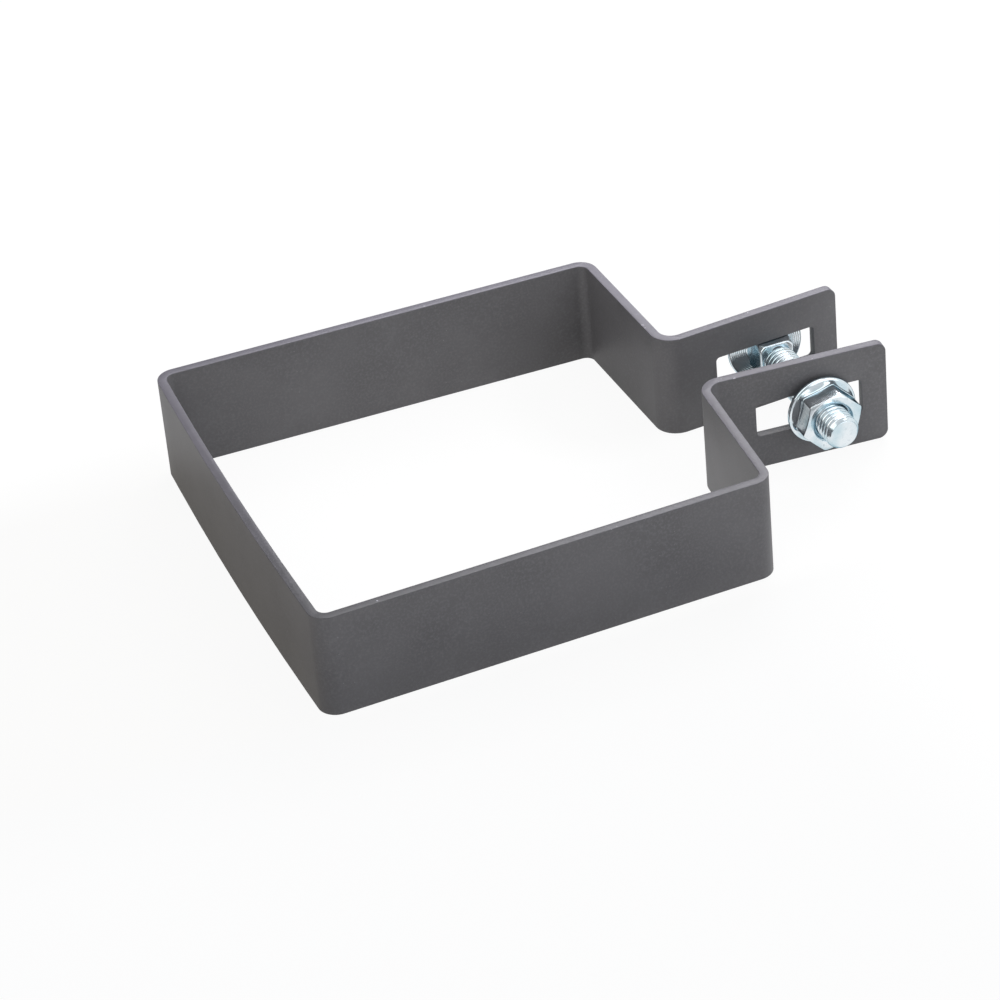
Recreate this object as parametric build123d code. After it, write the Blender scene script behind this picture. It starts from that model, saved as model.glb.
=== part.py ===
from build123d import *
import math
import os

# Fence end clamp for a square post: a bent strip with two slotted tabs,
# drawn together by a carriage bolt and a flange nut.
# Millimetres. +X points from the post towards the tabs, +Y along the bolt
# towards its head, +Z along the width of the strip. The origin is at the
# centre of the post opening, on the plane of the strip's lower edges.

# Strip
strip_width = 25.0
strip_thickness = 2.1
bend_radius = 2.2            # inside radius of every bend of the loop
tab_bend_radius = 3.2        # inside radius where a flange turns into its tab

# Loop, measured between the inside faces of the relaxed clamp
opening_length = 101.0       # along X, from the closed wall to the flanges
opening_width = 102.2        # along Y, at the closed wall
closed_wall_bow = 1.0        # how far the closed wall bulges outwards
arm_toe_in = 1.4             # degrees, each arm leans towards the gap
far_flange_lean = 2.5        # degrees, away from the post
near_flange_lean = 3.1

# Tabs
tab_gap = 17.0               # between the gap faces, at the flanges
far_tab_splay = 4.1          # degrees, away from the gap
near_tab_splay = 4.5
tab_reach = 96.6             # X of the free ends
tab_corner_radius = 2.2

# Carriage bolt
bolt_diameter = 8.0
bolt_length = 41.0           # from the underside of the head
bolt_tip_chamfer = 0.7
bolt_from_slot_end = 10.3    # from the outer end of the slots to the axis, along X
head_diameter = 18.0
head_height = 4.4
head_rim = 0.9
head_stand_off = 2.4         # loose bolt: underside of the head to the far tab
neck_width = 8.2
neck_length = 6.4
neck_corner_chamfer = 1.2
neck_clearance = 0.15        # above and below the neck in its slot

# Slots, the same in both tabs
slot_length = 25.0
slot_end_distance = 5.9      # from the end of the slot to the end of the tab
slot_corner_radius = 0.9

# Flange nut
nut_across_flats = 12.8
nut_height = 6.8
nut_flange_diameter = 16.3
nut_flange_rim = 1.1
nut_flange_cone = 1.6        # height of the cone between the rim and the flats
nut_bore_clearance = 0.1     # on the radius, over the plain shank
nut_turn = 14.0              # degrees, of a corner above the +X direction
nut_seat_gap = 0.1           # at the edge that touches the splayed tab
nut_countersink = 0.8

os.makedirs("parts", exist_ok=True)


def sloped(point, angle):
    """A line in plan: a point on it and its unit direction."""
    a = math.radians(angle)
    return point, (math.cos(a), math.sin(a))


def shifted(line, distance):
    """The same line moved to its left by a distance."""
    (x, y), (u, v) = line
    return (x - v * distance, y + u * distance), (u, v)


def meet(line_a, line_b):
    """The point where two lines in plan cross."""
    (xa, ya), (ua, va) = line_a
    (xb, yb), (ub, vb) = line_b
    s = ((xb - xa) * vb - (yb - ya) * ub) / (ua * vb - va * ub)
    return xa + ua * s, ya + va * s


def at_x(line, x):
    """The point of a line in plan at a given X."""
    (x0, y0), (u, v) = line
    return x, y0 + (x - x0) * v / u


def side_lines(side, lean, splay):
    """Inside faces of one arm, its flange and its tab; side is +1 far, -1 near."""
    half_x, half_y = opening_length / 2, opening_width / 2
    arm = sloped((-half_x, side * half_y), -side * arm_toe_in)
    arm_end = at_x(arm, half_x)
    flange = sloped(arm_end, side * (lean - 90))
    tab = sloped((half_x, side * tab_gap / 2), side * splay)
    return arm, flange, tab


far_arm, far_flange, far_tab = side_lines(1, far_flange_lean, far_tab_splay)
near_arm, near_flange, near_tab = side_lines(-1, near_flange_lean, near_tab_splay)


def strap_path():
    """Centre line of the bent strip, from the far tab's end to the near tab's."""
    half = strip_thickness / 2
    arm_f, flange_f, tab_f = (shifted(far_arm, half), shifted(far_flange, half), shifted(far_tab, half))
    arm_n, flange_n, tab_n = (shifted(near_arm, -half), shifted(near_flange, -half), shifted(near_tab, -half))
    wall_x = -opening_length / 2 - half
    corner_f = at_x(arm_f, wall_x)
    corner_n = at_x(arm_n, wall_x)
    # The bulge is a wide arc: its rounding takes off part of the drawn peak.
    reach = 0.8
    peak = closed_wall_bow / (1 - reach / 2)
    middle = (wall_x - peak, (corner_f[1] + corner_n[1]) / 2)
    wall_half = math.hypot(corner_f[0] - middle[0], corner_f[1] - middle[1])
    wall_turn = math.atan2(peak, (corner_f[1] - corner_n[1]) / 2)
    wall_radius = reach * wall_half / math.tan(wall_turn)
    points = [
        at_x(tab_f, tab_reach),
        meet(tab_f, flange_f),
        meet(flange_f, arm_f),
        corner_f,
        middle,
        corner_n,
        meet(flange_n, arm_n),
        meet(tab_n, flange_n),
        at_x(tab_n, tab_reach),
    ]
    bend = bend_radius + half
    tab_bend = tab_bend_radius + half
    radii = [tab_bend, bend, bend, wall_radius, bend, bend, tab_bend]
    return FilletPolyline(*points, radius=radii)


def tab_plane(tab, side):
    """Plane in the middle of a tab's thickness, at the centre of its slot."""
    centre_line = shifted(tab, side * strip_thickness / 2)
    (u, v) = centre_line[1]
    from_end = slot_end_distance + slot_length / 2
    x, y = at_x(centre_line, tab_reach)
    return Plane(
        origin=(x - u * from_end, y - v * from_end, strip_width / 2),
        x_dir=(u, v, 0),
        z_dir=(v, -u, 0),
    )


def slot_cutter(plane):
    """Rounded slot through one tab."""
    height = neck_width + 2 * neck_clearance
    outline = plane * RectangleRounded(slot_length, height, slot_corner_radius)
    return extrude(outline, amount=strip_thickness * 1.5, both=True)


def tab_end_cutter(plane):
    """What the rounding of a tab's two free corners takes away."""
    r = tab_corner_radius
    end = slot_length / 2 + slot_end_distance
    block = Pos(end, 0) * Rectangle(4 * r, 2 * strip_width)
    keep = Pos(end - 4 * r, 0) * RectangleRounded(8 * r, strip_width, r)
    return extrude(plane * (block - keep), amount=strip_thickness * 1.5, both=True)


def make_strap():
    """The strip swept round its path, with slots and rounded tab ends."""
    path = strap_path()
    start = path @ 0
    along = path % 0
    section = Plane(origin=(start.X, start.Y, strip_width / 2), x_dir=(0, 0, 1), z_dir=along)
    body = sweep(section * Rectangle(strip_width, strip_thickness), path=Pos(0, 0, strip_width / 2) * path)
    for tab, side in ((far_tab, 1), (near_tab, -1)):
        plane = tab_plane(tab, side)
        body = body - slot_cutter(plane) - tab_end_cutter(plane)
    return body


bolt_position = tab_reach - slot_end_distance - bolt_from_slot_end
bolt_height = strip_width / 2
far_tab_back = shifted(far_tab, strip_thickness)
head_seat = at_x(far_tab_back, bolt_position)[1] + head_stand_off
near_tab_front = shifted(near_tab, -strip_thickness)
nut_seat = at_x(near_tab_front, bolt_position + nut_flange_diameter / 2)[1] - nut_seat_gap


def along_bolt(shape, seat):
    """Puts a shape drawn along +Z onto the bolt's axis, pointing to -Y."""
    frame = Plane(origin=(bolt_position, seat, bolt_height), x_dir=(1, 0, 0), z_dir=(0, -1, 0))
    return frame * shape


def make_bolt():
    """Domed head, square neck with eased corners and a round shank."""
    rim = head_diameter / 2
    dome_start = (rim, -head_rim)
    dome = ThreePointArc(dome_start, dome_point(rim), (0, -head_height))
    foot = Polyline((0, -head_height), (0, 0), (rim - 0.25, 0), (rim, -0.25), dome_start)
    head = revolve(Plane.XZ * make_face([*dome.edges(), *foot.edges()]), axis=Axis.Z)
    corner = neck_width / math.sqrt(2)
    eased = neck_length - neck_corner_chamfer
    easing = Polyline(
        (0, -0.5), (corner, -0.5), (corner, eased),
        (corner - neck_corner_chamfer, neck_length), (0, neck_length), (0, -0.5),
    )
    neck = extrude(Pos(0, 0, -0.5) * RectangleRounded(neck_width, neck_width, 0.5), amount=neck_length + 0.5)
    neck = neck & revolve(Plane.XZ * make_face(easing), axis=Axis.Z)
    tip = bolt_length - bolt_tip_chamfer
    shank = Polyline(
        (0, -0.5), (bolt_diameter / 2, -0.5), (bolt_diameter / 2, tip),
        (bolt_diameter / 2 - bolt_tip_chamfer, bolt_length), (0, bolt_length), (0, -0.5),
    )
    body = head + neck + revolve(Plane.XZ * make_face(shank), axis=Axis.Z)
    return along_bolt(body, head_seat)


def dome_point(rim):
    """A point of the head's spherical cap, half way to its rim."""
    rise = head_height - head_rim
    radius = (rim ** 2 + rise ** 2) / (2 * rise)
    half = rim / 2
    return half, -(head_height - radius + math.sqrt(radius ** 2 - half ** 2))


def make_nut():
    """Hexagon with a conical flange, eased corners and a countersunk bore."""
    corner = nut_across_flats / math.sqrt(3)
    foot = nut_flange_diameter / 2
    bore = bolt_diameter / 2 + nut_bore_clearance
    cone_top = nut_flange_rim + nut_flange_cone
    hexagon = extrude(Rot(0, 0, nut_turn) * RegularPolygon(corner, 6), amount=nut_height)
    crown = (corner - nut_across_flats / 2 * 0.96) * math.tan(math.radians(30))
    easing = Polyline(
        (0, 0), (corner, 0), (corner, nut_height - crown),
        (nut_across_flats / 2 * 0.96, nut_height), (0, nut_height), (0, 0),
    )
    hexagon = hexagon & revolve(Plane.XZ * make_face(easing), axis=Axis.Z)
    skirt = Polyline(
        (0, 0), (foot - 0.3, 0), (foot, 0.3), (foot, nut_flange_rim),
        (nut_across_flats / 2 * 0.98, cone_top), (0, cone_top), (0, 0),
    )
    body = hexagon + revolve(Plane.XZ * make_face(skirt), axis=Axis.Z)
    drill = Polyline(
        (0, -1), (bore, -1), (bore, nut_height - nut_countersink),
        (bore + nut_countersink, nut_height), (bore + nut_countersink, nut_height + 1), (0, nut_height + 1), (0, -1),
    )
    body = body - revolve(Plane.XZ * make_face(drill), axis=Axis.Z)
    return along_bolt(body, nut_seat)


parts = {
    "strap": make_strap(),
    "carriage_bolt": make_bolt(),
    "flange_nut": make_nut(),
}

for name, shape in parts.items():
    solids = shape.solids()
    export_step(solids[0] if len(solids) == 1 else Compound(solids), f"parts/{name}.step")
    box = shape.bounding_box()
    print(name, len(solids), round(shape.volume, 1), [round(v, 2) for v in (*box.min, *box.max)])
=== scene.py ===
"""Fence end clamp: powder-coated strap, zinc-plated carriage bolt and flange nut.

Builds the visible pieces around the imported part. Metres, +Z up, in the part's own frame.
"""

import logging
import math
from dataclasses import dataclass, field
from enum import Enum
from typing import Any, Callable, Optional

import bmesh
import bpy
from mathutils import Matrix, Vector

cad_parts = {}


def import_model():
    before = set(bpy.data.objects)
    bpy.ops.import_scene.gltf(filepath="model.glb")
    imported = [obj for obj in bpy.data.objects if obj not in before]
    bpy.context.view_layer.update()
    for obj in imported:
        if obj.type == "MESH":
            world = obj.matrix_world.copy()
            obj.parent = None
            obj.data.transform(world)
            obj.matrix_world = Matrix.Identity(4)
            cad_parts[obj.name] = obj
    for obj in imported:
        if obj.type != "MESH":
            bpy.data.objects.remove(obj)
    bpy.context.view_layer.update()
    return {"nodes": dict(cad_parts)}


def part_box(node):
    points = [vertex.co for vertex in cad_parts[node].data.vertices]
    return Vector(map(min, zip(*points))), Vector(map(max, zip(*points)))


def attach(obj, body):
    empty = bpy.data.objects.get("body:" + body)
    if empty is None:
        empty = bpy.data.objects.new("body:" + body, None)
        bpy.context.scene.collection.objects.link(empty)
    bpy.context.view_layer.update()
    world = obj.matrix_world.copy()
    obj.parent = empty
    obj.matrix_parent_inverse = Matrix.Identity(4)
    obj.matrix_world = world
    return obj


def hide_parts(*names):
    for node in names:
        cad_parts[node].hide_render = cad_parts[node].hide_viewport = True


LOG = logging.getLogger("fence_clamp")
MM = 0.001
BODY = "root"
WHITE = (1.0, 1.0, 1.0, 1.0)

# Points of a mesh that lie nearer to each other than this are one, in metres.
SOLID_MERGE = 1e-6
LATHE_MERGE = 1e-7
THREAD_MERGE = 2e-7

Point = tuple[float, float, float]
Ring = list[Point]
Profile = tuple[tuple[float, float], ...]


class Part(Enum):
    """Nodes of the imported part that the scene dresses."""

    STRAP = "strap"
    BOLT = "carriage_bolt"
    NUT = "flange_nut"


class Slot(Enum):
    """Material slots of the part's record."""

    COAT = "powder_coat"
    ZINC = "zinc"


def linear(hex_colour: str, alpha: float = 1.0) -> tuple[float, float, float, float]:
    """Turns an sRGB hex colour into Blender's linear RGBA.

    Args:
        hex_colour: Six hex digits, with or without a leading hash.
        alpha: Opacity.

    Returns:
        The linear colour.
    """
    text = hex_colour.lstrip("#")
    channels = [int(text[i:i + 2], 16) / 255 for i in (0, 2, 4)]
    r, g, b = (c / 12.92 if c <= 0.04045 else ((c + 0.055) / 1.055) ** 2.4 for c in channels)
    return r, g, b, alpha


def add_node(
    tree: bpy.types.NodeTree,
    kind: str,
    settings: Optional[dict[str, Any]] = None,
    inputs: Optional[dict[Any, Any]] = None,
) -> bpy.types.Node:
    """Adds a node with its settings, values and incoming links.

    Args:
        tree: Node tree that gets the node.
        kind: Blender's name of the node type.
        settings: Attributes set on the node.
        inputs: Socket name or index to a value, or to the output socket that feeds it.

    Returns:
        The new node.
    """
    node = tree.nodes.new(kind)
    for name, value in (settings or {}).items():
        setattr(node, name, value)
    for key, value in (inputs or {}).items():
        if isinstance(value, bpy.types.NodeSocket):
            tree.links.new(value, node.inputs[key])
        else:
            node.inputs[key].default_value = value
    return node


@dataclass(frozen=True)
class Span:
    """Stretch of a value that brings a tone in: none of it at start, all of it at end."""

    start: float
    end: float


@dataclass(frozen=True)
class Pattern:
    """Noise of a finish: the size of one patch, and how much finer noise lies in it."""

    size_mm: float
    detail: float = 3.0
    roughness: float = 0.6


def inside(tree: bpy.types.NodeTree, *spans: tuple[bpy.types.NodeSocket, Span]) -> bpy.types.NodeSocket:
    """Marks where every given value has gone through its span.

    Args:
        tree: Node tree that gets the nodes.
        spans: Value sockets, each with its span.

    Returns:
        The product of the clamped shares.
    """
    shares = [
        add_node(
            tree, "ShaderNodeMapRange", {}, {"Value": value, "From Min": span.start, "From Max": span.end}
        )
        for value, span in spans
    ]
    share = shares[0].outputs["Result"]
    for other in shares[1:]:
        both = {0: share, 1: other.outputs["Result"]}
        share = add_node(tree, "ShaderNodeMath", {"operation": "MULTIPLY"}, both).outputs[0]
    return share


def layered(tree: bpy.types.NodeTree, base: Any, *layers: tuple[bpy.types.NodeSocket, Any]) -> Any:
    """Lays colours over a base, one after another.

    Args:
        tree: Node tree that gets the nodes.
        base: Colour or colour socket at the bottom.
        layers: Shares, each with the colour or colour socket that it lays on.

    Returns:
        The socket of the colour on top.
    """
    colour = base
    for share, over in layers:
        mix = add_node(tree, "ShaderNodeMix", {"data_type": "RGBA"}, {0: share, 6: colour, 7: over})
        colour = mix.outputs[2]
    return colour


@dataclass(frozen=True)
class Relief:
    """Roughness and bump that a finish takes from one of its patterns."""

    roughness: float
    spread: float
    bump: float
    depth_mm: float
    span: Span = Span(0.0, 1.0)

    def apply(self, tree: bpy.types.NodeTree, shader: bpy.types.Node, pattern: bpy.types.NodeSocket) -> None:
        """Sets a shader's roughness and normal.

        Args:
            tree: Node tree of the material.
            shader: The material's shader.
            pattern: The pattern's value.
        """
        rough = add_node(
            tree,
            "ShaderNodeMapRange",
            {},
            {
                "Value": pattern,
                "From Min": self.span.start,
                "From Max": self.span.end,
                "To Min": self.roughness - self.spread,
                "To Max": self.roughness + self.spread,
            },
        )
        bump = add_node(
            tree,
            "ShaderNodeBump",
            {},
            {"Height": pattern, "Strength": self.bump, "Distance": self.depth_mm * MM},
        )
        tree.links.new(rough.outputs["Result"], shader.inputs["Roughness"])
        tree.links.new(bump.outputs["Normal"], shader.inputs["Normal"])


@dataclass(frozen=True)
class PowderCoat:
    """Anthracite polyester powder coat, sprayed and baked on steel strip.

    It gives the eye a matt dark grey with a fine dry grain. Along the strip's cut edges it is slightly
    violet, with small rubbed spots. A painted sheen makes the cut edges lighter towards the tabs and
    the far side, where the light from the back right falls. The grain is drawn as coarse as it needs
    to show in the render.
    """

    name: str = "powder_coat_on_steel"
    body: str = "#5D5C5E"
    body_dark: str = "#555456"
    body_light: str = "#676669"
    cut: str = "#434246"
    # Lighter, more violet end of the painted sheen on the cut edges.
    cut_sheen: str = "#6A6771"
    dust: str = "#7C7B80"
    rubbed: str = "#A5A3AB"
    ior: float = 1.5
    relief: Relief = Relief(roughness=0.50, spread=0.08, bump=0.35, depth_mm=0.05)
    grain: Pattern = Pattern(0.55)
    cloud: Pattern = Pattern(18.0, roughness=0.55)
    drift: Pattern = Pattern(5.0)
    rub: Pattern = Pattern(2.4, detail=4.0, roughness=0.65)
    speck_mm: float = 0.9
    clouded: Span = Span(0.35, 0.65)
    grained: Span = Span(0.45, 0.80)
    speck_reach: Span = Span(0.16, 0.08)
    speck_choice: Span = Span(0.86, 0.90)
    rub_choice: Span = Span(0.68, 0.72)
    # Direction, noise and span of the painted sheen that lightens the cut edges towards the back right.
    sheen_way: Point = (0.4, 1.0, 0.0)
    sheen_drift: float = 0.08
    sheen_ramp: Span = Span(-0.03, 0.10)

    def build(self) -> bpy.types.Material:
        """Builds the material.

        Returns:
            The powder-coat material.
        """
        material, tree, shader, place = new_material(self.name)
        grain, cloud, drift, rub = (
            add_node(
                tree,
                "ShaderNodeTexNoise",
                {},
                {"Vector": place, "Scale": 1 / (p.size_mm * MM), "Detail": p.detail, "Roughness": p.roughness},
            ).outputs["Fac"]
            for p in (self.grain, self.cloud, self.drift, self.rub)
        )
        dots = add_node(
            tree,
            "ShaderNodeTexVoronoi",
            {"feature": "F1"},
            {"Vector": place, "Scale": 1 / (self.speck_mm * MM), "Randomness": 1.0},
        ).outputs
        specks = inside(tree, (dots["Distance"], self.speck_reach), (dots["Color"], self.speck_choice))
        edge = add_node(tree, "ShaderNodeAttribute", {"attribute_name": "cut_edge"}).outputs["Fac"]
        # Painted sheen: the cut edge gets lighter towards the tabs and the far side, standing in for the light
        # from the back right.
        across = add_node(
            tree, "ShaderNodeVectorMath", {"operation": "DOT_PRODUCT"}, {0: place, 1: self.sheen_way}
        )
        sheen_ramp = add_node(
            tree,
            "ShaderNodeMath",
            {"operation": "MULTIPLY_ADD"},
            {0: drift, 1: self.sheen_drift, 2: across.outputs["Value"]},
        )
        sheen_share = inside(tree, (sheen_ramp.outputs[0], self.sheen_ramp))
        cut = layered(tree, linear(self.cut), (sheen_share, linear(self.cut_sheen)))
        spots = inside(tree, (rub, self.rub_choice))
        rubbed = add_node(tree, "ShaderNodeMath", {"operation": "MULTIPLY"}, {0: spots, 1: edge})
        colour = layered(
            tree,
            linear(self.body_dark),
            (inside(tree, (cloud, self.clouded)), linear(self.body)),
            (inside(tree, (grain, self.grained)), linear(self.body_light)),
            (specks, linear(self.dust)),
            (edge, cut),
            (rubbed.outputs[0], linear(self.rubbed)),
        )
        tree.links.new(colour, shader.inputs["Base Color"])
        self.relief.apply(tree, shader, grain)
        shader.inputs["IOR"].default_value = self.ior
        return material


@dataclass(frozen=True)
class ZincPlate:
    """Bright electroplated zinc with blue passivation over pressed steel.

    It gives the eye a silvery metal with soft, slightly streaked reflections and a cold blue tint
    that comes and goes over the surface.
    """

    name: str = "zinc_plate_on_steel"
    bright: str = "#EAF1F5"
    blue: str = "#C3DAE3"
    dull: str = "#C0CDD4"
    grazing: str = "#86A9B8"
    relief: Relief = Relief(roughness=0.17, spread=0.05, bump=0.12, depth_mm=0.01, span=Span(0.3, 0.7))
    tint: Pattern = Pattern(5.0, detail=2.0, roughness=0.5)
    scuff: Pattern = Pattern(0.7, detail=4.0, roughness=0.65)
    tinted: Span = Span(0.42, 0.70)
    scuffed: Span = Span(0.58, 0.78)

    def build(self) -> bpy.types.Material:
        """Builds the material.

        Returns:
            The zinc-plate material.
        """
        material, tree, shader, place = new_material(self.name)
        tint, scuff = (
            add_node(
                tree,
                "ShaderNodeTexNoise",
                {},
                {"Vector": place, "Scale": 1 / (p.size_mm * MM), "Detail": p.detail, "Roughness": p.roughness},
            ).outputs["Fac"]
            for p in (self.tint, self.scuff)
        )
        colour = layered(
            tree,
            linear(self.bright),
            (inside(tree, (tint, self.tinted)), linear(self.blue)),
            (inside(tree, (scuff, self.scuffed)), linear(self.dull)),
        )
        tree.links.new(colour, shader.inputs["Base Color"])
        shader.inputs["Metallic"].default_value = 1.0
        shader.inputs["Specular Tint"].default_value = linear(self.grazing)
        self.relief.apply(tree, shader, scuff)
        return material


def new_material(
    name: str,
) -> tuple[bpy.types.Material, bpy.types.NodeTree, bpy.types.Node, bpy.types.NodeSocket]:
    """Makes a material with one Principled shader.

    Args:
        name: Name of the material.

    Returns:
        The material, its tree, the shader node and a socket with the position in metres.
    """
    material = bpy.data.materials.new(name)
    material.use_nodes = True
    tree = material.node_tree
    tree.nodes.clear()
    shader = add_node(tree, "ShaderNodeBsdfPrincipled")
    add_node(tree, "ShaderNodeOutputMaterial", {}, {"Surface": shader.outputs["BSDF"]})
    place = add_node(tree, "ShaderNodeTexCoord").outputs["Object"]
    return material, tree, shader, place


def light_paths(tree: bpy.types.NodeTree) -> tuple[bpy.types.NodeSocket, bpy.types.NodeSocket]:
    """Tells the rays that show the background from the rays that light the part.

    Args:
        tree: Node tree that gets the nodes.

    Returns:
        Sockets that are 1 for what the camera sees, and for what metal or glass reflects or lets through.
    """
    path = add_node(tree, "ShaderNodeLightPath").outputs
    reflected = add_node(
        tree,
        "ShaderNodeMath",
        {"operation": "MAXIMUM"},
        {0: path["Is Glossy Ray"], 1: path["Is Transmission Ray"]},
    )
    return path["Is Camera Ray"], reflected.outputs[0]


def link_object(name: str, mesh: bpy.types.Mesh, material: bpy.types.Material) -> bpy.types.Object:
    """Puts a mesh into the scene with one material.

    Args:
        name: Name of the object.
        mesh: Its mesh.
        material: Its material.

    Returns:
        The new object.
    """
    piece = bpy.data.objects.new(name, mesh)
    bpy.context.scene.collection.objects.link(piece)
    mesh.materials.clear()
    mesh.materials.append(material)
    return piece


def shade_smooth(mesh: bpy.types.Mesh, most_sides: Optional[int] = None) -> None:
    """Shades a mesh's faces smooth.

    Args:
        mesh: The mesh.
        most_sides: Faces with more sides than this stay flat, such as the cap of a shank.
    """
    for polygon in mesh.polygons:
        polygon.use_smooth = most_sides is None or len(polygon.vertices) <= most_sides


def apply_modifiers(piece: bpy.types.Object) -> None:
    """Turns an object's modifiers into plain mesh.

    Args:
        piece: The object.
    """
    graph = bpy.context.evaluated_depsgraph_get()
    finished = bpy.data.meshes.new_from_object(piece.evaluated_get(graph), depsgraph=graph)
    piece.modifiers.clear()
    piece.data = finished


def bevel_edges(piece: bpy.types.Object, width_mm: float, segments: int, angle_deg: float) -> None:
    """Rounds an object's sharp edges.

    Args:
        piece: Object to round.
        width_mm: Width of the rounding.
        segments: Faces across the rounding.
        angle_deg: Edges sharper than this are rounded.
    """
    bevel = piece.modifiers.new("eased_edges", "BEVEL")
    bevel.width = width_mm * MM
    bevel.segments = segments
    bevel.limit_method = "ANGLE"
    bevel.angle_limit = math.radians(angle_deg)
    bevel.use_clamp_overlap = True
    bevel.harden_normals = True
    apply_modifiers(piece)


@dataclass
class Strap:
    """The bent strip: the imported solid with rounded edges, whose cut faces are marked."""

    edge_radius_mm: float = 0.32
    edge_segments: int = 3
    edge_angle_deg: float = 40.0
    flat_angle_deg: float = 0.2
    cut_band_mm: float = 2.5
    mark_gain: float = 1.6
    coat: PowderCoat = field(default_factory=PowderCoat)

    def build(self, source: bpy.types.Object) -> bpy.types.Object:
        """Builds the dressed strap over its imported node.

        Args:
            source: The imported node's object.

        Returns:
            The strap.
        """
        form = bmesh.new()
        form.from_mesh(source.data)
        bmesh.ops.remove_doubles(form, verts=form.verts, dist=SOLID_MERGE)
        flat = math.radians(self.flat_angle_deg)
        bmesh.ops.dissolve_limit(form, angle_limit=flat, verts=form.verts, edges=form.edges)
        mesh = bpy.data.meshes.new("strap_form")
        form.to_mesh(mesh)
        form.free()
        shade_smooth(mesh)
        strap = link_object("coated_strap", mesh, self.coat.build())
        bevel_edges(strap, self.edge_radius_mm, self.edge_segments, self.edge_angle_deg)
        self.mark_cut_edges(strap.data)
        return strap

    def mark_cut_edges(self, mesh: bpy.types.Mesh) -> None:
        """Marks the cut faces and their rounding, which the coat's colours read.

        Args:
            mesh: The strap's mesh.
        """
        mark = mesh.attributes.new("cut_edge", "FLOAT", "FACE")
        low = min(vertex.co.z for vertex in mesh.vertices)
        high = max(vertex.co.z for vertex in mesh.vertices)
        for polygon in mesh.polygons:
            depth = min(high - polygon.center.z, polygon.center.z - low)
            level = min(1.0, abs(polygon.normal.z) * self.mark_gain)
            mark.data[polygon.index].value = 0.0 if depth > self.cut_band_mm * MM else level


@dataclass
class LatheForm:
    """A closed mesh of rings around +Z, drawn in millimetres."""

    segments: int
    start_deg: float = 0.0
    rings: list[Ring] = field(default_factory=list)

    def ring(self, radius: Callable[[float], float], height: Callable[[float], float]) -> None:
        """Adds a ring whose radius and height follow the angle.

        Args:
            radius: Radius at an angle.
            height: Height at an angle.
        """
        start = math.radians(self.start_deg)
        angles = [start + i * 2 * math.pi / self.segments for i in range(self.segments)]
        self.rings.append([(radius(a) * math.cos(a), radius(a) * math.sin(a), height(a)) for a in angles])

    def circle(self, radius: float, height: float) -> None:
        """Adds a plain round ring."""
        self.ring(lambda _: radius, lambda _: height)

    def mesh(self, name: str, place: Matrix, closed: bool) -> bpy.types.Mesh:
        """Joins the rings into a mesh.

        Args:
            name: Name of the mesh.
            place: Where the form goes, in metres.
            closed: True where the last ring joins the first, False for a cap on both ends.

        Returns:
            The mesh.
        """
        form = bmesh.new()
        rows = [[form.verts.new(place @ (Vector(p) * MM)) for p in ring] for ring in self.rings]
        pairs = list(zip(rows, rows[1:] + rows[:1])) if closed else list(zip(rows, rows[1:]))
        for low, high in pairs:
            for i in range(self.segments):
                j = (i + 1) % self.segments
                form.faces.new((low[i], low[j], high[j], high[i]))
        if not closed:
            form.faces.new(list(reversed(rows[0])))
            form.faces.new(rows[-1])
        bmesh.ops.remove_doubles(form, verts=form.verts, dist=LATHE_MERGE)
        bmesh.ops.dissolve_degenerate(form, edges=form.edges, dist=LATHE_MERGE)
        bmesh.ops.recalc_face_normals(form, faces=form.faces)
        mesh = bpy.data.meshes.new(name)
        form.to_mesh(mesh)
        form.free()
        return mesh


@dataclass
class BoltAxis:
    """Where the bolt runs: from its head towards -Y."""

    x_mm: float
    z_mm: float

    @classmethod
    def of_node(cls, node: str) -> "BoltAxis":
        """Reads the axis from a packed round node.

        Args:
            node: Name of the node.

        Returns:
            The axis through the middle of the node's box.
        """
        low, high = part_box(node)
        return cls((low[0] + high[0]) / 2 / MM, (low[2] + high[2]) / 2 / MM)

    def frame(self, seat_y_mm: float) -> Matrix:
        """A frame whose +Z points along the bolt to its tip.

        Args:
            seat_y_mm: Y of the frame's origin.

        Returns:
            The frame in metres.
        """
        turn = Matrix(((1, 0, 0), (0, 0, -1), (0, 1, 0))).to_4x4()
        return Matrix.Translation(Vector((self.x_mm, seat_y_mm, self.z_mm)) * MM) @ turn


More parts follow.
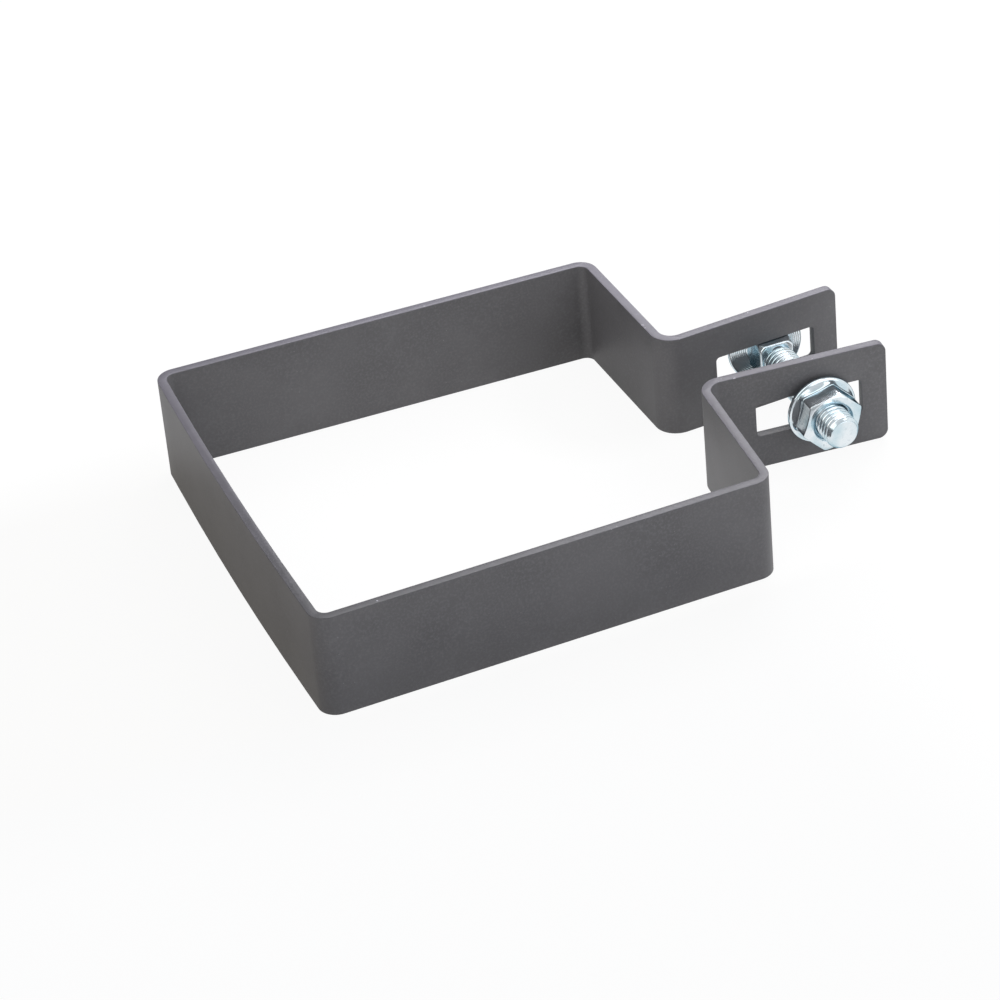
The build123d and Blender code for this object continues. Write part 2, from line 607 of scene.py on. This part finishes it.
@dataclass
class CarriageBolt:
    """Domed head with fine rings below it, square neck and a full metric thread.

    All sizes are millimetres. A profile lists pairs of inset and drop, or as its comment says.
    """

    segments: int = 72
    round_segments: int = 96
    eye: float = 0.02
    length: float = 41.0
    tip_chamfer: float = 0.8

    head_radius: float = 9.0
    head_height: float = 4.4
    rim: float = 0.9
    dome_steps: int = 14
    rim_profile: Profile = ((0.0, 0.35), (0.1, 0.1), (0.35, 0.0))

    ring_count: int = 8
    ring_inner: float = 4.7
    ring_margin: float = 0.5
    ring_end: float = 0.2
    # Share of one ring's width, and depth.
    ring_profile: Profile = ((0.0, 0.0), (0.10, 0.02), (0.40, 0.12), (0.50, 0.135), (0.60, 0.12), (0.90, 0.02))

    neck_width: float = 8.2
    neck_length: float = 6.4
    neck_root: float = 0.2
    neck_corner_cut: float = 0.25
    neck_front_reach: float = 0.95
    neck_front_drop: float = 0.45
    neck_front_slope: float = 2.4
    neck_front_profile: Profile = ((0.0, 0.44), (0.05, 0.27), (0.16, 0.11), (0.34, 0.0))
    neck_edge_mm: float = 0.15
    neck_edge_segments: int = 2
    neck_edge_angle_deg: float = 30.0

    shank_radius: float = 3.96
    plain_radius: float = 3.66
    plain_inset: float = 0.05
    plain_length: float = 1.0
    pitch: float = 1.25
    thread_depth: float = 0.60
    thread_sunk: float = 0.3
    # Shares of the pitch: half of the flat root, one flank, and the run-out beside the neck.
    root_share: float = 0.05
    flank_share: float = 0.30
    run_out_share: float = 0.4
    steps: int = 10

    def head(self, place: Matrix, zinc: bpy.types.Material) -> bpy.types.Object:
        """Builds the head, lathed round the axis.

        Args:
            place: Frame with its origin under the head.
            zinc: The finish.

        Returns:
            The head.
        """
        form = LatheForm(self.round_segments)
        rise = self.head_height - self.rim
        sphere = (self.head_radius ** 2 + rise ** 2) / (2 * rise)
        form.circle(self.eye, -self.head_height)
        for i in range(1, self.dome_steps + 1):
            angle = math.asin(self.head_radius / sphere) * i / self.dome_steps
            form.circle(sphere * math.sin(angle), -(self.head_height - sphere * (1 - math.cos(angle))))
        for inset, drop in self.rim_profile:
            form.circle(self.head_radius - inset, -drop)
        outer = self.head_radius - self.ring_margin
        step = (outer - self.ring_inner) / self.ring_count
        for i in range(self.ring_count):
            for share, depth in self.ring_profile:
                form.circle(outer - step * (i + share), -depth)
        form.circle(self.ring_inner - self.ring_end, 0.0)
        form.circle(self.eye, 0.0)
        piece = link_object("bolt_head", form.mesh("bolt_head", place, False), zinc)
        shade_smooth(piece.data)
        return piece

    def neck(self, place: Matrix, zinc: bpy.types.Material) -> bpy.types.Object:
        """Builds the square neck with its eased front corners.

        Args:
            place: Frame with its origin under the head.
            zinc: The finish.

        Returns:
            The neck.
        """
        form = LatheForm(self.round_segments)
        half = self.neck_width / 2
        corner = half * math.sqrt(2) - self.neck_corner_cut

        def square(angle: float) -> float:
            """Radius of the rounded square at an angle."""
            side = (angle + math.pi / 4) % (math.pi / 2) - math.pi / 4
            return min(half / math.cos(side), corner)

        def front(angle: float) -> float:
            """Radius of the front end, whose corners are cut back further."""
            return min(square(angle), half + self.neck_front_reach)

        def eased(angle: float) -> float:
            """Height where the corners start to slope."""
            slope = (square(angle) - front(angle)) * self.neck_front_slope
            return self.neck_length - self.neck_front_drop - slope

        form.ring(square, lambda _: -self.neck_root)
        form.ring(square, eased)
        for inset, drop in self.neck_front_profile:
            form.ring(lambda a, i=inset: front(a) - i, lambda _, d=drop: self.neck_length - d)
        form.circle(self.plain_radius - self.plain_inset, self.neck_length)
        piece = link_object("bolt_neck", form.mesh("bolt_neck", place, False), zinc)
        shade_smooth(piece.data)
        bevel_edges(piece, self.neck_edge_mm, self.neck_edge_segments, self.neck_edge_angle_deg)
        return piece

    def thread_radius(self, height: float, phase: float) -> float:
        """Radius of the thread, which runs out beside the neck and narrows at the tip.

        Args:
            height: Height along the bolt.
            phase: Place across the thread's profile, from 0 to 1.

        Returns:
            The radius.
        """
        tooth = min(1.0, max(0.0, (abs(phase - 0.5) - self.root_share) / self.flank_share))
        rolled = self.shank_radius - self.thread_depth * (1 - tooth)
        plain_end = self.neck_length + self.plain_length
        share = min(1.0, max(0.0, (height - plain_end) / (self.run_out_share * self.pitch)))
        tip = self.shank_radius - self.tip_chamfer + (self.length - height)
        return min(self.plain_radius + (rolled - self.plain_radius) * share, tip)

    def thread(self, place: Matrix, zinc: bpy.types.Material) -> bpy.types.Object:
        """Builds the threaded shank as one rolled helix.

        Args:
            place: Frame with its origin under the head.
            zinc: The finish.

        Returns:
            The shank.
        """
        start, end = self.neck_length - self.thread_sunk, self.length
        form = LatheForm(self.segments)
        turns = int((end - start) / self.pitch) + 3
        for turn in range(-1, turns):
            for k in range(self.steps):
                phase = k / self.steps

                def height(angle: float, turn: int = turn, phase: float = phase) -> float:
                    """Height of the strand, held between the shank's ends."""
                    rise = start + self.pitch * (turn + phase + angle / (2 * math.pi))
                    return min(end, max(start, rise))

                form.ring(lambda a, p=phase, h=height: self.thread_radius(h(a), p), height)
        piece = link_object("bolt_thread", self.helical_mesh(form, place), zinc)
        shade_smooth(piece.data, most_sides=4)
        return piece

    def helical_mesh(self, form: LatheForm, place: Matrix) -> bpy.types.Mesh:
        """Joins strands whose seam climbs by one pitch each turn.

        Args:
            form: Rings of the strands.
            place: Frame with its origin under the head.

        Returns:
            The closed mesh.
        """
        work = bmesh.new()
        rows = [[work.verts.new(place @ (Vector(p) * MM)) for p in ring] for ring in form.rings]
        last = self.segments - 1
        for r in range(len(rows) - 1):
            for i in range(last):
                work.faces.new((rows[r][i], rows[r][i + 1], rows[r + 1][i + 1], rows[r + 1][i]))
            if r + 1 + self.steps < len(rows):
                low, high = rows[r + self.steps], rows[r + 1 + self.steps]
                work.faces.new((rows[r][last], low[0], high[0], rows[r + 1][last]))
        bmesh.ops.remove_doubles(work, verts=work.verts, dist=THREAD_MERGE)
        bmesh.ops.dissolve_degenerate(work, edges=work.edges, dist=THREAD_MERGE)
        loose = [v for v in work.verts if not v.link_faces]
        bmesh.ops.delete(work, geom=loose, context="VERTS")
        bmesh.ops.holes_fill(work, edges=[e for e in work.edges if e.is_boundary], sides=0)
        bmesh.ops.recalc_face_normals(work, faces=work.faces)
        mesh = bpy.data.meshes.new("bolt_thread")
        work.to_mesh(mesh)
        work.free()
        return mesh

    def build(self, axis: BoltAxis, seat_y_mm: float, zinc: bpy.types.Material) -> list[bpy.types.Object]:
        """Builds the whole bolt.

        Args:
            axis: The bolt's axis.
            seat_y_mm: Y of the head's underside.
            zinc: The finish.

        Returns:
            The bolt's pieces.
        """
        place = axis.frame(seat_y_mm)
        return [self.head(place, zinc), self.neck(place, zinc), self.thread(place, zinc)]


@dataclass
class FlangeNut:
    """Hexagon with eased corners on a conical flange, with a countersunk bore.

    All sizes are millimetres. A profile lists pairs of inset and height, or as its comment says.
    """

    across_flats: float = 12.8
    height: float = 6.8
    flange_radius: float = 8.15
    flange_rim: float = 1.1
    flange_cone: float = 1.6
    bore_radius: float = 4.02
    countersink: float = 0.8
    corner_turn_deg: float = 14.0
    corner_cut: float = 0.10
    segments: int = 120

    flange_bore_gap: float = 0.25
    foot_profile: Profile = ((0.45, 0.0), (0.12, 0.12), (0.0, 0.42))
    # Inset, and rise above the rim.
    rim_profile: Profile = ((0.0, -0.32), (0.03, -0.16), (0.11, -0.04), (0.26, 0.05))
    lip_inset: float = 0.52
    step_outset: float = 0.12
    # Share of the way from the lip to the step, and rise above the rim.
    cone_profile: Profile = ((0.0, 0.08), (0.10, 0.17), (0.35, 0.42), (0.65, 0.76), (0.90, 1.02), (1.0, 1.20))
    # Outset from the flats, and rise above the rim.
    step_profile: Profile = ((0.12, 1.46), (0.10, 1.54), (0.04, 1.60))

    hex_foot: float = 0.4
    hex_levels: tuple[float, ...] = (0.5, 0.9)
    crown_share: float = 0.985
    crown_angle_deg: float = 24.0
    # Inset, and drop below the edge of the crown.
    shoulder_profile: Profile = ((0.0, 0.30), (0.0, 0.10), (0.02, 0.04), (0.07, -0.01))
    # Inset, and drop below the top.
    crown_profile: Profile = ((0.02, 0.02), (0.12, 0.0))
    # Outset from the countersink, and drop below the top.
    sink_profile: Profile = ((0.15, 0.0), (0.03, 0.03), (-0.08, 0.12))
    # Outset from the bore, and drop below the countersink.
    bore_profile: Profile = ((0.1, 0.0), (0.0, 0.2))

    def hex_radius(self, angle: float) -> float:
        """Radius of the hexagon with its eased corners at an angle."""
        side = (angle - math.radians(self.corner_turn_deg)) % (math.pi / 3) - math.pi / 6
        return min(self.across_flats / 2 / math.cos(side), self.across_flats / math.sqrt(3) - self.corner_cut)

    def flange(self, place: Matrix) -> bpy.types.Mesh:
        """Builds the flange: a rounded rim, a hollow and the six-sided step that carries the flats.

        Args:
            place: Frame with its origin in the seat.

        Returns:
            The mesh.
        """
        form = LatheForm(self.segments, self.corner_turn_deg)
        outer, rim = self.flange_radius, self.flange_rim
        inner = self.bore_radius + self.flange_bore_gap
        form.circle(inner, 0.0)
        for inset, height in self.foot_profile:
            form.circle(outer - inset, height)
        for inset, rise in self.rim_profile:
            form.circle(outer - inset, rim + rise)
        lip = outer - self.lip_inset
        for share, rise in self.cone_profile:
            form.ring(
                lambda a, s=share: lip * (1 - s) + (self.hex_radius(a) + self.step_outset) * s,
                lambda _, r=rise: rim + r,
            )
        for outset, rise in self.step_profile:
            form.ring(lambda a, o=outset: self.hex_radius(a) + o, lambda _, r=rise: rim + r)
        form.circle(inner, rim + self.flange_cone)
        return form.mesh("nut_flange", place, True)

    def hexagon(self, place: Matrix) -> bpy.types.Mesh:
        """Builds the hexagon with its turned crown and countersunk bore.

        Args:
            place: Frame with its origin in the seat.

        Returns:
            The mesh.
        """
        form = LatheForm(self.segments, self.corner_turn_deg)
        crown = self.across_flats / 2 * self.crown_share
        bore, sink = self.bore_radius, self.countersink

        def top(angle: float) -> float:
            """Height where a flat ends under the crown."""
            slope = math.tan(math.radians(self.crown_angle_deg))
            return self.height - (self.hex_radius(angle) - crown) * slope

        form.circle(bore, self.hex_foot)
        for level in self.hex_levels:
            form.ring(self.hex_radius, lambda _, h=level: h)
        for inset, drop in self.shoulder_profile:
            form.ring(lambda a, i=inset: self.hex_radius(a) - i, lambda a, d=drop: top(a) - d)
        for inset, drop in self.crown_profile:
            form.circle(crown - inset, self.height - drop)
        for outset, drop in self.sink_profile:
            form.circle(bore + sink + outset, self.height - drop)
        for outset, drop in self.bore_profile:
            form.circle(bore + outset, self.height - sink - drop)
        return form.mesh("nut_hexagon", place, True)

    def build(self, axis: BoltAxis, seat_y_mm: float, zinc: bpy.types.Material) -> list[bpy.types.Object]:
        """Builds the nut.

        Args:
            axis: The bolt's axis.
            seat_y_mm: Y of the nut's seat.
            zinc: The finish.

        Returns:
            The nut's pieces.
        """
        place = axis.frame(seat_y_mm)
        pieces = [link_object(m.name, m, zinc) for m in (self.flange(place), self.hexagon(place))]
        for piece in pieces:
            shade_smooth(piece.data)
        return pieces


@dataclass(frozen=True)
class SoftBox:
    """A square lamp: where it hangs and its side in metres, its watts and its tint."""

    name: str
    place: Point
    side: float
    watts: float
    tint: str = "#FFFFFF"


SOFT_BOXES = (
    SoftBox("back_right_box", (0.35, 0.42, 0.42), 0.40, 3.1, "#FDFCFF"),
    SoftBox("front_right_box", (0.31, -0.53, 0.23), 0.45, 0.75, "#FAFBFF"),
    SoftBox("top_left_box", (-0.55, -0.30, 0.60), 0.90, 2.55, "#FFFAF2"),
    SoftBox("zenith_box", (0.10, 0.0, 0.70), 0.50, 0.8),
)


@dataclass(frozen=True)
class StudioFloor:
    """White paper with painted shadows beside the strap's wall on the -X side, in front of the front arm and
    round where the far flange stands. They show mostly in reflections and bounce light, while the camera sees
    the paper nearly white.

    The spans of the painted shadows are in metres along X, along Y or away from where the far flange stands.
    """

    half_side: float = 6.0
    drop: float = 0.0002
    # Share of its own light in what the camera and reflections see; the rest shows the part's shadow.
    own_light: float = 0.93
    paper: str = "#FAFAFA"
    # Painted shadow beside the strap's wall on the -X side.
    left_shadow: str = "#B3AFA8"
    # Painted shadow round where the far flange stands.
    foot_shadow: str = "#CBCBCA"
    # Painted shadow in front of the front arm: this tone further out, the next one close to the arm.
    front: str = "#C8C9CC"
    front_shadow_close: str = "#B0B1B4"
    # Where the painted shadows lie and how they fade, in metres.
    left_shadow_x: Span = Span(-0.046, -0.054)
    left_shadow_y: Span = Span(0.070, 0.046)
    front_shadow_x: Span = Span(0.085, 0.040)
    front_shadow_y: Span = Span(-0.048, -0.056)
    front_shadow_fade_y: Span = Span(-0.056, -0.080)
    foot_shadow_place: Point = (0.045, 0.030, 0.0)
    foot_shadow_reach: Span = Span(0.026, 0.014)

    def material(self) -> bpy.types.Material:
        """Builds the paper.

        Returns:
            The material.
        """
        material = bpy.data.materials.new("studio_paper")
        material.use_nodes = True
        tree = material.node_tree
        tree.nodes.clear()
        ground = add_node(tree, "ShaderNodeTexCoord").outputs["Object"]
        place = add_node(tree, "ShaderNodeSeparateXYZ", {}, {0: ground}).outputs
        away = add_node(
            tree, "ShaderNodeVectorMath", {"operation": "DISTANCE"}, {0: ground, 1: self.foot_shadow_place}
        )
        front_shadow_fade = inside(tree, (place["Y"], self.front_shadow_fade_y))
        # The paper with its painted shadows, which bounce light and reflections see.
        paper_with_painted_shadows = layered(
            tree,
            linear(self.paper),
            (inside(tree, (place["X"], self.left_shadow_x), (place["Y"], self.left_shadow_y)), linear(self.left_shadow)),
            (
                inside(tree, (place["Y"], self.front_shadow_y), (place["X"], self.front_shadow_x)),
                layered(tree, linear(self.front_shadow_close), (front_shadow_fade, linear(self.front))),
            ),
            (inside(tree, (away.outputs["Value"], self.foot_shadow_reach)), linear(self.foot_shadow)),
        )
        paper = add_node(tree, "ShaderNodeBsdfDiffuse", {}, {"Color": paper_with_painted_shadows})
        seen, reflected = light_paths(tree)
        # Reflections see the painted shadows by the paper's own light. The camera sees white.
        shown = add_node(tree, "ShaderNodeEmission", {}, {"Color": layered(tree, paper_with_painted_shadows, (seen, WHITE))})
        share = add_node(
            tree, "ShaderNodeMath", {"operation": "ADD", "use_clamp": True}, {0: seen, 1: reflected}
        )
        most = add_node(
            tree, "ShaderNodeMath", {"operation": "MULTIPLY"}, {0: share.outputs[0], 1: self.own_light}
        )
        blend = add_node(
            tree, "ShaderNodeMixShader", {}, {0: most.outputs[0], 1: paper.outputs[0], 2: shown.outputs[0]}
        )
        add_node(tree, "ShaderNodeOutputMaterial", {}, {"Surface": blend.outputs[0]})
        return material

    def build(self) -> None:
        """Lays the floor that the part's lower edges stand on."""
        side = self.half_side
        mesh = bpy.data.meshes.new("floor")
        corners = [(-side, -side, 0), (side, -side, 0), (side, side, 0), (-side, side, 0)]
        mesh.from_pydata(corners, [], [(0, 1, 2, 3)])
        floor = link_object("floor", mesh, self.material())
        floor.location.z = -self.drop


@dataclass(frozen=True)
class Room:
    """Pale room around the part: dim at the horizon and behind, lit from the right.

    The spans are shares of the direction looked in. The camera sees it white.
    """

    low: str = "#6F7173"
    high: str = "#CACCCF"
    behind: str = "#5C5E60"
    right: str = "#F4F8FA"
    rise_z: Span = Span(0.02, 0.60)
    behind_x: Span = Span(0.12, 0.0)
    behind_y: Span = Span(0.45, 0.65)
    right_x: Span = Span(0.45, 0.80)
    white_in_metal: float = 0.2

    def build(self) -> None:
        """Sets the scene's world."""
        scene = bpy.context.scene
        world = scene.world or bpy.data.worlds.new("room")
        scene.world = world
        world.use_nodes = True
        tree = world.node_tree
        tree.nodes.clear()
        facing = add_node(tree, "ShaderNodeTexCoord").outputs["Generated"]
        way = add_node(tree, "ShaderNodeSeparateXYZ", {}, {0: facing}).outputs
        room = layered(
            tree,
            linear(self.low),
            (inside(tree, (way["Z"], self.rise_z)), linear(self.high)),
            (inside(tree, (way["X"], self.behind_x), (way["Y"], self.behind_y)), linear(self.behind)),
            (inside(tree, (way["X"], self.right_x)), linear(self.right)),
        )
        seen, reflected = light_paths(tree)
        white = add_node(
            tree,
            "ShaderNodeMath",
            {"operation": "MULTIPLY_ADD", "use_clamp": True},
            {0: reflected, 1: self.white_in_metal, 2: seen},
        )
        colour = layered(tree, room, (white.outputs[0], WHITE))
        shade = add_node(tree, "ShaderNodeBackground", {}, {"Color": colour, "Strength": 1.0})
        add_node(tree, "ShaderNodeOutputWorld", {}, {"Surface": shade.outputs[0]})


@dataclass
class Studio:
    """Pale floor, soft light and the camera."""

    azimuth_deg: float = -18.88
    elevation_deg: float = 34.44
    roll_deg: float = -5.41
    distance_mm: float = 954.3
    pan_mm: tuple[float, float] = (-7.42, -4.72)
    lens_mm: float = 155.5
    sensor_mm: float = 36.0
    nearest_m: float = 0.01
    lamps_aim: Point = (0.02, 0.0, 0.01)
    floor: StudioFloor = field(default_factory=StudioFloor)
    room: Room = field(default_factory=Room)

    def camera(self) -> None:
        """Places the camera at the photograph's viewing angle."""
        az, el = math.radians(self.azimuth_deg), math.radians(self.elevation_deg)
        back = Vector((math.sin(az) * math.cos(el), -math.cos(az) * math.cos(el), math.sin(el)))
        right = Vector((math.cos(az), math.sin(az), 0.0))
        up = back.cross(right)
        roll = math.radians(self.roll_deg)
        right, up = (
            right * math.cos(roll) + up * math.sin(roll),
            up * math.cos(roll) - right * math.sin(roll),
        )
        pan_x, pan_y = self.pan_mm
        place = (back * self.distance_mm - right * pan_x - up * pan_y) * MM
        data = bpy.data.cameras.new("camera")
        data.lens = self.lens_mm
        data.sensor_width = self.sensor_mm
        data.clip_start = self.nearest_m
        view = bpy.data.objects.new("camera", data)
        view.matrix_world = Matrix.Translation(place) @ Matrix((right, up, back)).transposed().to_4x4()
        bpy.context.scene.collection.objects.link(view)
        bpy.context.scene.camera = view

    def lamp(self, box: SoftBox) -> None:
        """Hangs a soft box that points at the part.

        Args:
            box: The soft box.
        """
        data = bpy.data.lights.new(box.name, "AREA")
        data.shape = "SQUARE"
        data.size = box.side
        data.energy = box.watts
        data.color = linear(box.tint)[:3]
        lamp = bpy.data.objects.new(box.name, data)
        lamp.location = box.place
        lamp.rotation_euler = (Vector(self.lamps_aim) - Vector(box.place)).to_track_quat("-Z", "Y").to_euler()
        bpy.context.scene.collection.objects.link(lamp)

    def build(self) -> None:
        """Builds the whole studio."""
        self.camera()
        self.floor.build()
        self.room.build()
        for box in SOFT_BOXES:
            self.lamp(box)
        bpy.context.scene.view_settings.view_transform = "Standard"


def dress(piece: bpy.types.Object, part: Part, slot: Slot) -> None:
    """Lets a piece stand for a node and ride with the part.

    Args:
        piece: The piece.
        part: Node that it stands for.
        slot: Material slot of the record. Not used.
    """
    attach(piece, BODY)
    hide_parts(part.value)
    LOG.info("%s stands for %s, %d faces", piece.name, part.value, len(piece.data.polygons))


def main() -> None:
    """Builds the clamp and its studio in order."""
    logging.basicConfig(level=logging.INFO, format="%(message)s")
    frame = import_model()
    strap = Strap().build(frame["nodes"][Part.STRAP.value])
    dress(strap, Part.STRAP, Slot.COAT)
    zinc = ZincPlate().build()
    bolt = CarriageBolt()
    head_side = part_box(Part.BOLT.value)[1][1] / MM
    for piece in bolt.build(BoltAxis.of_node(Part.BOLT.value), head_side - bolt.head_height, zinc):
        dress(piece, Part.BOLT, Slot.ZINC)
    nut_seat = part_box(Part.NUT.value)[1][1] / MM
    for piece in FlangeNut().build(BoltAxis.of_node(Part.NUT.value), nut_seat, zinc):
        dress(piece, Part.NUT, Slot.ZINC)
    Studio().build()


if __name__ == "__main__":
    main()
